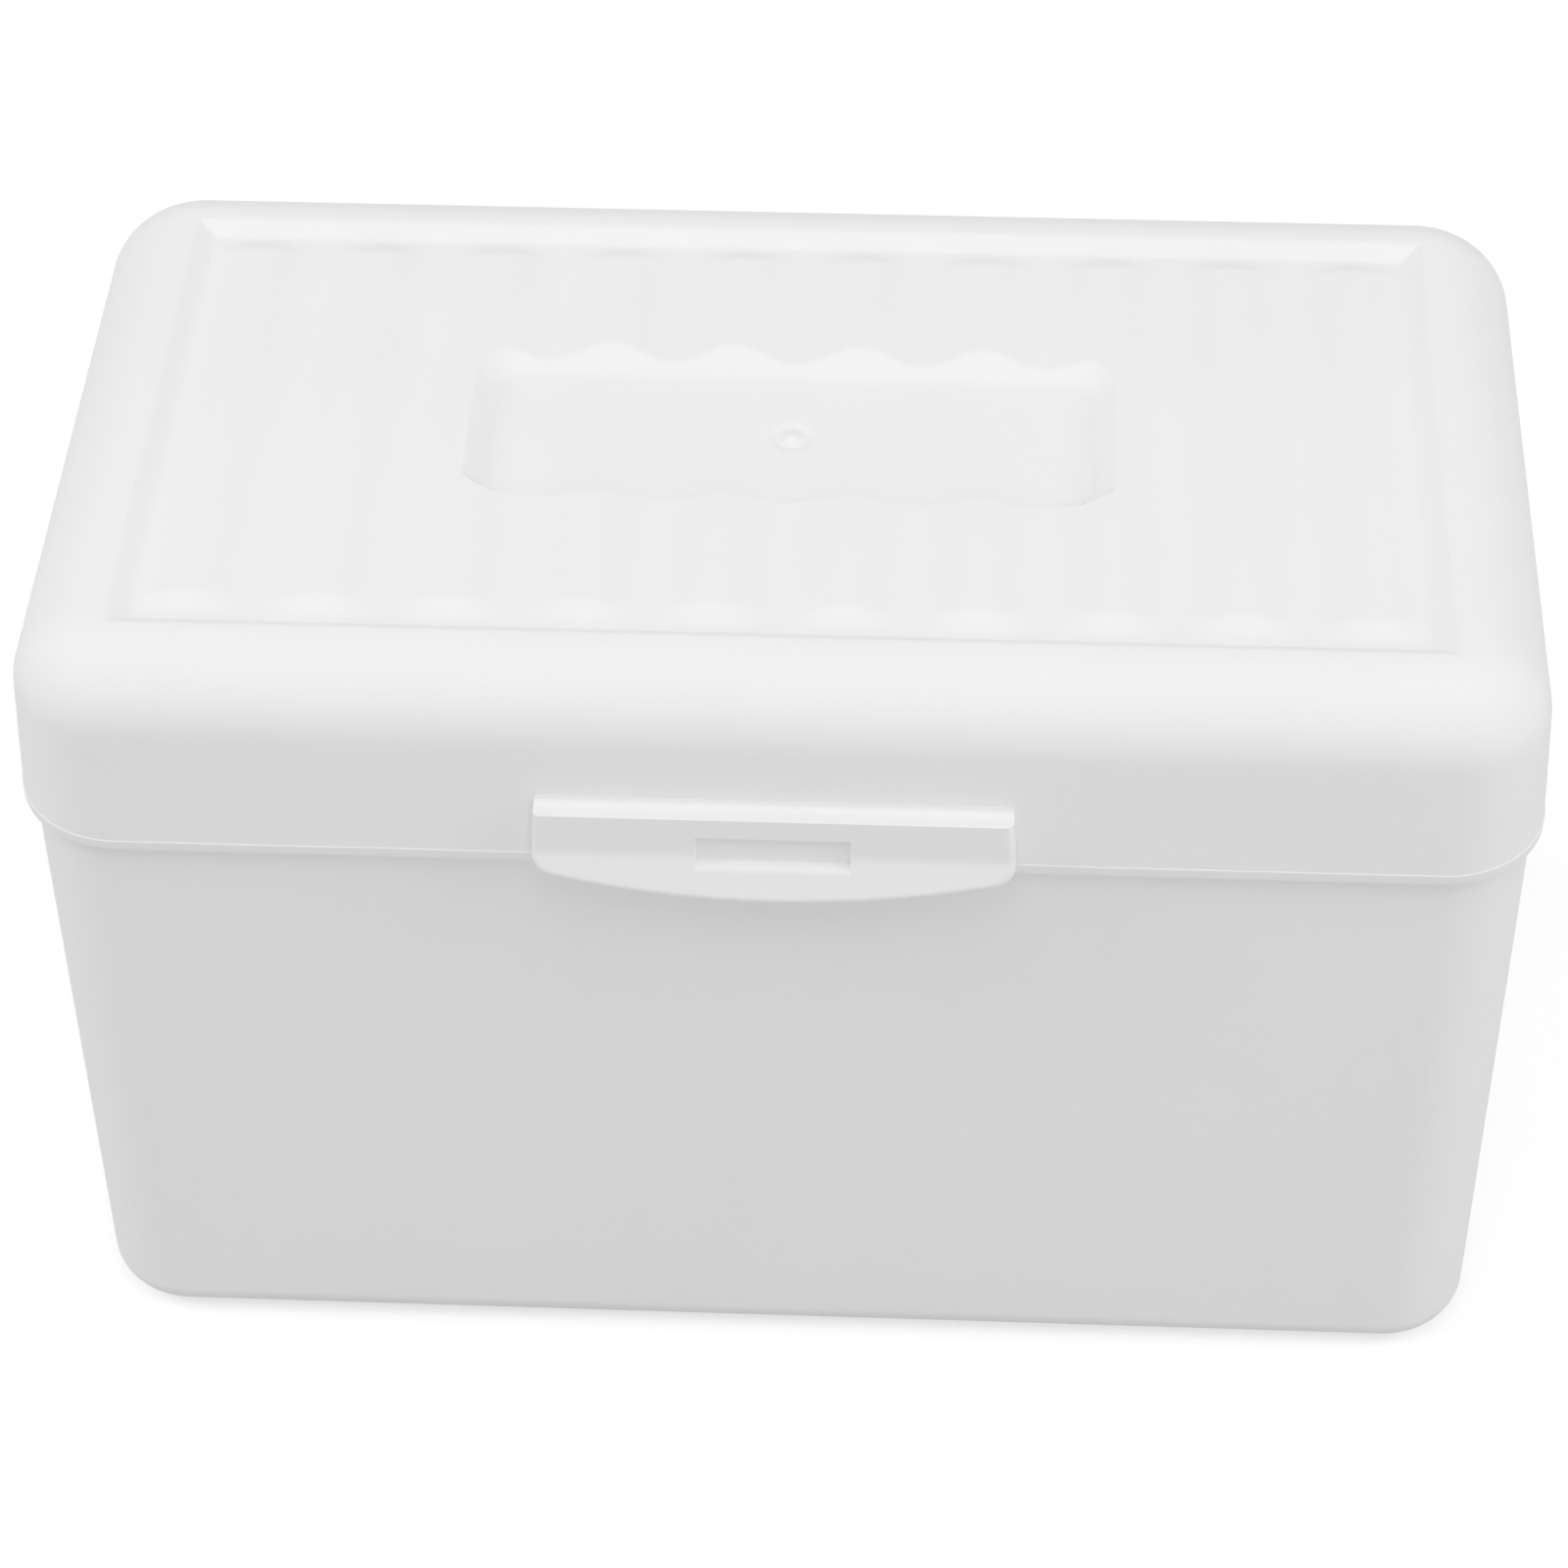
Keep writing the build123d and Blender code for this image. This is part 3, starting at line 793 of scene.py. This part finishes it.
boss_outline = rounded_ring(BOSS_HALF_X, BOSS_HALF_Y, BOSS_CORNER, side_step=8.0, corner_steps=6)
boss_outline = [(x, y + BOSS_Y) for x, y in boss_outline]
boss_top = blank.ring(boss_outline, CEILING_Z)
boss_face = blank.ring(boss_outline, BOSS_CEILING_Z)
blank.fill_between(inner_rings[-1], boss_top, upwards=False)
blank.bridge(boss_face, boss_top)
blank.fill_between(boss_face, None, upwards=False)
blank_mesh = blank.mesh("lid_blank")
print("blank points", len(blank.points), "faces", len(blank_mesh.polygons))

# %% [markdown]
# ## A knuckle's outline
# At the back the lid ends in two knuckles. Each is a round barrel with a bore for its pin
# and a web that grows out of the skirt, so that it has no thin neck to break. Barrel and
# web could be two shapes joined, but they are one outline in the mould. So it is one here:
# for each direction from the hinge axis, how far the outline is away.

# %% Knuckle outline
HINGE_Y = 42.4
HINGE_Z = RIM_Z
KNUCKLE_RADIUS = 2.6
KNUCKLE_ROOT_Y = 39.4
WEB_RISE = 3.0
BARREL_FROM, BARREL_SPAN = -179.9, 269.9
BARREL_STEPS = 44
NEARLY_UPRIGHT = 0.001

root = HINGE_Y - KNUCKLE_ROOT_Y


def knuckle_reach(turn):
    """Distance from the hinge axis to the knuckle's outline in a direction."""
    y, z = cos(turn), sin(turn)
    if y >= -NEARLY_UPRIGHT or z < 0:
        return KNUCKLE_RADIUS
    to_root = root / -y
    lean = root * z + WEB_RISE * y
    if lean <= 0:
        return to_root
    return min(KNUCKLE_RADIUS * root / lean, to_root)


root_corner = atan2(KNUCKLE_RADIUS + WEB_RISE, -root)
barrel_degrees = [BARREL_FROM + BARREL_SPAN * i / BARREL_STEPS for i in range(BARREL_STEPS + 1)]
web_turns = [root_corner * 0.5 + pi / 4, root_corner, (root_corner + pi) / 2, pi]
knuckle_turns = [radians(degrees) for degrees in barrel_degrees] + web_turns
print("a knuckle's outline has", len(knuckle_turns), "points")

# %% [markdown]
# ## Knuckles with their bores
# The outline is pulled along the axis. Its two ends are drawn in a little, as a moulded
# edge is, and a smaller ring at each end leads into the bore. The chain of rings starts at
# one mouth of the bore, runs along the outside to the other and comes back through it.

# %% Knuckles
KNUCKLE_X = 38.0
KNUCKLE_HALF = 7.0
KNUCKLE_EDGE = 0.15
BORE_RADIUS = 1.05


def around_axis(sheet, x, turns, reach):
    """A ring about the hinge axis: reach gives its distance for each direction."""
    outline = [(reach(turn) * cos(turn), reach(turn) * sin(turn)) for turn in turns]
    return sheet.add([(x, HINGE_Y + y, HINGE_Z + z) for y, z in outline])


def end_reach(turn):
    """Distance to the outline where a knuckle's end is drawn in."""
    return knuckle_reach(turn) - KNUCKLE_EDGE


def bore_reach(turn):
    """Distance to the bore's wall, the same in each direction."""
    return BORE_RADIUS


def knuckle(sheet, x):
    """A knuckle with its bore, centred at x."""
    ends = []
    for side in (-1, 1):
        end_x = x + side * KNUCKLE_HALF
        shoulder_x = x + side * (KNUCKLE_HALF - KNUCKLE_EDGE)
        outline = around_axis(sheet, end_x, knuckle_turns, end_reach)
        shoulder = around_axis(sheet, shoulder_x, knuckle_turns, knuckle_reach)
        bore = around_axis(sheet, end_x, knuckle_turns, bore_reach)
        ends.append([bore, outline, shoulder])
    left, right = ends
    chain = left + right[::-1] + left[:1]
    for one, other in zip(chain, chain[1:]):
        sheet.bridge(one, other)


knuckles = Sheet()
for knuckle_x in (-KNUCKLE_X, KNUCKLE_X):
    knuckle(knuckles, knuckle_x)
print("knuckles have", len(knuckles.faces), "quads")

# %% [markdown]
# ## What is cut away
# Beside each barrel the tub's ears need room in the skirt, and behind the latch the skirt
# has a notch for its hook. In the mould these are cores that keep the plastic out. Here
# they are plain cylinders about the hinge axis and one plain block, never seen themselves.

# %% Cutters
EAR_OFFSET = 9.3
EAR_ROOM = 4.6
EAR_ROOM_RADIUS = 2.95
EAR_ROOM_STEPS = 32
NOTCH_HALF = 8.6
NOTCH_TOP = 73.7
NOTCH_BACK = 37.2
CUT_PAST = 3.0


def plug(sheet, bottom, top):
    """A closed body between two rings, for cutting."""
    sheet.bridge(bottom, top)
    sheet.faces += [tuple(reversed(bottom)), tuple(top)]


def room_reach(turn):
    """Distance to the wall of an ear's room, the same in each direction."""
    return EAR_ROOM_RADIUS


def ear_room(sheet, x):
    """A cylinder about the hinge axis, as wide as an ear needs, centred at x."""
    turns = [2 * pi * i / EAR_ROOM_STEPS for i in range(EAR_ROOM_STEPS)]
    near = around_axis(sheet, x - EAR_ROOM / 2, turns, room_reach)
    plug(sheet, near, around_axis(sheet, x + EAR_ROOM / 2, turns, room_reach))


def notch(sheet):
    """A block that cuts the notch from in front, from below the rim up to its top."""
    front = -LID_HALF_DEPTH - CUT_PAST
    corners = ((-1, front), (1, front), (1, -NOTCH_BACK), (-1, -NOTCH_BACK))
    outline = [(side * NOTCH_HALF, y) for side, y in corners]
    bottom = sheet.ring(outline, RIM_Z - CUT_PAST)
    plug(sheet, bottom, sheet.ring(outline, NOTCH_TOP))


cutters = Sheet()
for knuckle_x in (-KNUCKLE_X, KNUCKLE_X):
    for side in (-1, 1):
        ear_room(cutters, knuckle_x + side * EAR_OFFSET)
notch(cutters)
print("cutters have", len(cutters.faces), "faces")

# %% [markdown]
# ## Joining and cutting
# Boolean modifiers add the knuckles to the blank and take the cutters away, as the mould's
# cores do. The result is worked into a plain mesh and the helpers are removed, because the
# relief in the next steps needs points that stay.


# %% Join and cut
def facing_out(mesh):
    """Turns every face of a closed mesh outwards."""
    work = bmesh.new()
    work.from_mesh(mesh)
    bmesh.ops.recalc_face_normals(work, faces=work.faces)
    work.to_mesh(mesh)
    work.free()
    return mesh


def baked(thing, name):
    """The object's mesh with its modifiers worked in, in a new object without them."""
    graph = bpy.context.evaluated_depsgraph_get()
    mesh = bpy.data.meshes.new_from_object(thing.evaluated_get(graph))
    mesh.name = name
    bpy.data.objects.remove(thing)
    return placed(name, mesh)


raw_lid = placed("lid_raw", facing_out(blank_mesh))
knuckle_pair = placed("knuckle_pair", facing_out(knuckles.mesh("knuckle_pair")))
cutter_set = placed("cutter_set", facing_out(cutters.mesh("cutter_set")))
for operation, other in (("UNION", knuckle_pair), ("DIFFERENCE", cutter_set)):
    step = raw_lid.modifiers.new(operation.lower(), "BOOLEAN")
    step.operation = operation
    step.object = other
    step.solver = "EXACT"
cut_lid = baked(raw_lid, "lid_cut")
bpy.data.objects.remove(knuckle_pair)
bpy.data.objects.remove(cutter_set)
print("lid after the cuts has", len(cut_lid.data.polygons), "faces")

# %% [markdown]
# ## The relief as one rule
# The flat top carries ten shallow waves in a sunken field, a label pocket in their middle
# and the small mark of the mould's gate. Sculpting them would never come out even. They
# follow one rule that gives a height at each place, so Geometry Nodes work it out. Each
# size is a named input of the tree, and lengths are in millimetres.

# %% Relief inputs
RELIEF_SIZES = {
    "Field Width": 124.8,
    "Field Length": 62.4,
    "Wave Count": 10.0,
    "Wave Height": 0.95,
    "Crest Drop": 0.1,
    "Crest Roll": 3.2,
    "Wall Run": 1.9,
    "Front Run": 1.45,
    "Softness": 0.2,
    "Pocket Width": 59.0,
    "Pocket Front": 10.45,
    "Pocket Back": 9.0,
    "Pocket Corner": 2.4,
    "Pocket Drop": 1.75,
    "End Slope": 0.9,
    "Front Slope": 4.7,
    "Back Slope": 0.52,
    "Gate Radius": 1.5,
    "Gate Line": 0.8,
    "Gate Depth": 0.26,
    "Nub Radius": 0.7,
    "Line Height": 70.6,
    "Line Waver": 0.3,
    "Waver Length": 9.0,
}
relief_inputs = {"Geometry": ("NodeSocketGeometry", None)}
relief_inputs.update({name: ("NodeSocketFloat", value) for name, value in RELIEF_SIZES.items()})
relief_inputs["Plastic"] = ("NodeSocketMaterial", None)
relief, relief_in, relief_out = new_group(
    "lid_relief", "GeometryNodeTree", relief_inputs, {"Geometry": "NodeSocketGeometry"}
)
size = {name: Value(relief, relief_in.outputs[name]) for name in RELIEF_SIZES}
soft = size["Softness"]

in_metres = add_node(relief, "GeometryNodeInputPosition").outputs[0]
to_mm = {"Vector": in_metres, "Scale": 1 / MM}
here = add_node(relief, "ShaderNodeVectorMath", to_mm, operation="SCALE").outputs[0]
apart = add_node(relief, "ShaderNodeSeparateXYZ", {"Vector": here})
at_x, at_y, at_z = (Value(relief, apart.outputs[axis]) for axis in "XYZ")
far_x, far_y = at_x.math("ABSOLUTE"), at_y.math("ABSOLUTE")
print("relief has", len(RELIEF_SIZES), "sizes")

# %% [markdown]
# ## The field's wall
# The waves are sunk in a rectangular field with a sloped wall all round. The wall falls by
# the depth of the waves' troughs. In the photograph it is a little shorter and steeper in
# front than at the back and the sides. A plain slope that the next steps cut off at both
# ends gives it.

# %% Field wall
trough = -(size["Crest Drop"] + size["Wave Height"])
in_front = at_y.math("LESS_THAN", 0.0)
wall_run = size["Wall Run"] + (size["Front Run"] - size["Wall Run"]) * in_front
from_side = (size["Field Width"] * 0.5 - far_x) / size["Wall Run"]
from_end = (size["Field Length"] * 0.5 - far_y) / wall_run
wall = from_side.math("MINIMUM", from_end) * trough
wall_fall = RELIEF_SIZES["Crest Drop"] + RELIEF_SIZES["Wave Height"]
print("the wall falls", round(wall_fall, 2), "mm")

# %% [markdown]
# ## Ten waves
# The waves run from front to back and stiffen the top, as corrugated board is stiff. They
# are a cosine across the lid, with a trough along each side wall. Near the front and the
# back their crests roll down gently, which shows as a row of light lobes. The rolling is
# an eased step from one to zero.

# %% Waves
span = size["Field Width"] - size["Wall Run"]
phase = (at_x + span * 0.5) / (span / size["Wave Count"]) * (2 * pi)
wave_rise = (-phase.math("COSINE") + 1.0) * size["Wave Height"] * 0.5
roll_start = size["Field Length"] * 0.5 - size["Wall Run"] - size["Crest Roll"]
past = ((far_y - roll_start) / size["Crest Roll"]).between(0.0, 1.0)
rolled = past * past * (-past * 2.0 + 3.0)
waves = trough + wave_rise * (-rolled + 1.0)
field = wall.math("SMOOTH_MAX", waves, soft).math("SMOOTH_MIN", 0.0, soft)
waved_width = RELIEF_SIZES["Field Width"] - RELIEF_SIZES["Wall Run"]
print("waves are", round(waved_width / RELIEF_SIZES["Wave Count"], 2), "mm wide")

# %% [markdown]
# ## The label pocket's outline
# A smooth pocket for a label is pressed through the waves. Its floor is a rectangle with
# round corners, and what counts for its walls is the distance from that outline. The
# distance to a rounded rectangle has a short formula: over the corners it is a circle's,
# elsewhere a straight line's.

# %% Pocket outline
corner = size["Pocket Corner"]
middle_y = (size["Pocket Back"] - size["Pocket Front"]) * 0.5
half_y = (size["Pocket Back"] + size["Pocket Front"]) * 0.5
over_x = far_x - size["Pocket Width"] * 0.5 + corner
over_y = (at_y - middle_y).math("ABSOLUTE") - half_y + corner
reach_x, reach_y = over_x.math("MAXIMUM", 0.0), over_y.math("MAXIMUM", 0.0)
reach_squared = reach_x * reach_x + reach_y * reach_y
inside = over_x.math("MAXIMUM", over_y).math("MINIMUM", 0.0)
outside = reach_squared.math("SQRT") + inside - corner
print("pocket floor is", RELIEF_SIZES["Pocket Width"], "mm wide")

# %% [markdown]
# ## The label pocket's walls
# In front the pocket's wall is steep and crisp. At the ends it is gentle, and at the back
# it is gentler still and fades into the waves. So slope and softness differ by side and
# blend round the corners. Where the wall meets the waves, the lower of the two heights
# counts, and that makes the pocket's front and back edges wavy by themselves.

# %% Pocket walls
FOOT_SOFTNESS = {"end": 2.0, "front": 0.4, "back": 4.0}
EDGE_SOFTNESS = {"end": 1.6, "front": 0.4, "back": 1.6}
SMALLEST_REACH = 0.01

sideways = reach_y * reach_y / reach_squared.math("MAXIMUM", SMALLEST_REACH)
at_back = sideways * at_y.math("GREATER_THAN", 0.0)
at_front = sideways - at_back


def by_side(end, front, back):
    """A value for the pocket's ends, its front and its back, blended round the corners."""
    return at_front * (front - end) + at_back * (back - end) + end


slope = by_side(size["End Slope"], size["Front Slope"], size["Back Slope"])
floor_height = -size["Pocket Drop"]
pocket = outside * slope + floor_height
pocket = pocket.math("SMOOTH_MAX", floor_height, soft * by_side(**FOOT_SOFTNESS))
height = field.math("SMOOTH_MIN", pocket, soft * by_side(**EDGE_SOFTNESS))
print("pocket floor lies", RELIEF_SIZES["Pocket Drop"], "mm down")

# %% [markdown]
# ## The gate's mark
# The melt enters the mould through a gate in the middle of the lid. When it is cut off, a
# small nub with a shallow ring round it stays on the pocket's floor. Both depend only on
# the distance from the middle. The whole height counts only for points that lie on the
# flat top.

# %% Gate mark
TOP_REACH = 0.01

from_gate = (at_x * at_x + at_y * at_y).math("SQRT")
ring = (from_gate - size["Gate Radius"]).math("ABSOLUTE") / size["Gate Line"]
ring = (-ring + 1.0).math("MAXIMUM", 0.0)
nub = (size["Nub Radius"] - from_gate).math("MAXIMUM", 0.0) / size["Nub Radius"]
nub = nub.math("MINIMUM", 0.5) * 2.0
height = height + (nub - ring) * size["Gate Depth"]
on_top = at_z.math("GREATER_THAN", TOP_Z - TOP_REACH)
print("gate ring of", 2 * RELIEF_SIZES["Gate Radius"], "mm")

# %% [markdown]
# ## The parting line wavers
# Where the mould's halves meet, the plastic creeps in a little, here more and there less.
# So the fine step above the rim isn't straight as a ruler. Noise along the skirt moves its
# two rings up and down together by no more than 0.15 mm. The hinge side, where the
# knuckles cut through it, is left alone.

# %% Parting line
LINE_REACH = 0.1

waver_scale = size["Waver Length"].math("POWER", -1.0)
waver = noise(relief, here, scale=waver_scale, detail=2.0) - 0.5
at_line = (at_z - size["Line Height"]).math("ABSOLUTE").math("LESS_THAN", LINE_REACH)
at_line = at_line * at_y.math("LESS_THAN", LID_HALF_DEPTH - LID_CORNER)
line_lift = at_line * waver * size["Line Waver"]
print("the line wavers every", RELIEF_SIZES["Waver Length"], "mm or so")

# %% [markdown]
# ## The end of the rule
# The heights become a move along Z for each point, and the tree hands on a plain mesh that
# already wears the plastic.

# %% Relief output
lift = add_node(relief, "ShaderNodeCombineXYZ", {"Z": (on_top * height + line_lift) * MM})
move = {"Geometry": relief_in.outputs["Geometry"], "Offset": lift.outputs[0]}
moved = add_node(relief, "GeometryNodeSetPosition", move)
whole = add_node(relief, "GeometryNodeRealizeInstances", {"Geometry": moved.outputs[0]})
dress = {"Geometry": whole.outputs[0], "Material": relief_in.outputs["Plastic"]}
dressed = add_node(relief, "GeometryNodeSetMaterial", dress)
feed(relief, relief_out.inputs["Geometry"], dressed.outputs[0])
print("relief has", len(relief.nodes), "nodes")

# %% [markdown]
# ## The finished lid
# The rule goes onto the cut blank as a modifier and is worked in, so that the lid is a
# plain mesh again. Smooth shading with crisp edges where the angle is steep keeps the
# waves soft and the rim sharp. The shell takes the CAD lid's place and turns with it.


# %% Lid shell
def with_tree(thing, tree, **values):
    """Puts a geometry tree on an object, its inputs set by their sockets' identifiers."""
    step = thing.modifiers.new(tree.name, "NODES")
    step.node_group = tree
    for item in tree.interface.items_tree:
        name = item.name.replace(" ", "_").lower()
        if item.item_type == "SOCKET" and item.in_out == "INPUT" and name in values:
            step[item.identifier] = values[name]


with_tree(cut_lid, relief, plastic=white_plastic)
lid = baked(cut_lid, "lid_shell")
lid.data.shade_smooth()
lid.data.set_sharp_from_angle(angle=CRISP_EDGE)
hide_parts("lid")
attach(lid, "lid")
print("lid has", len(lid.data.polygons), "faces")
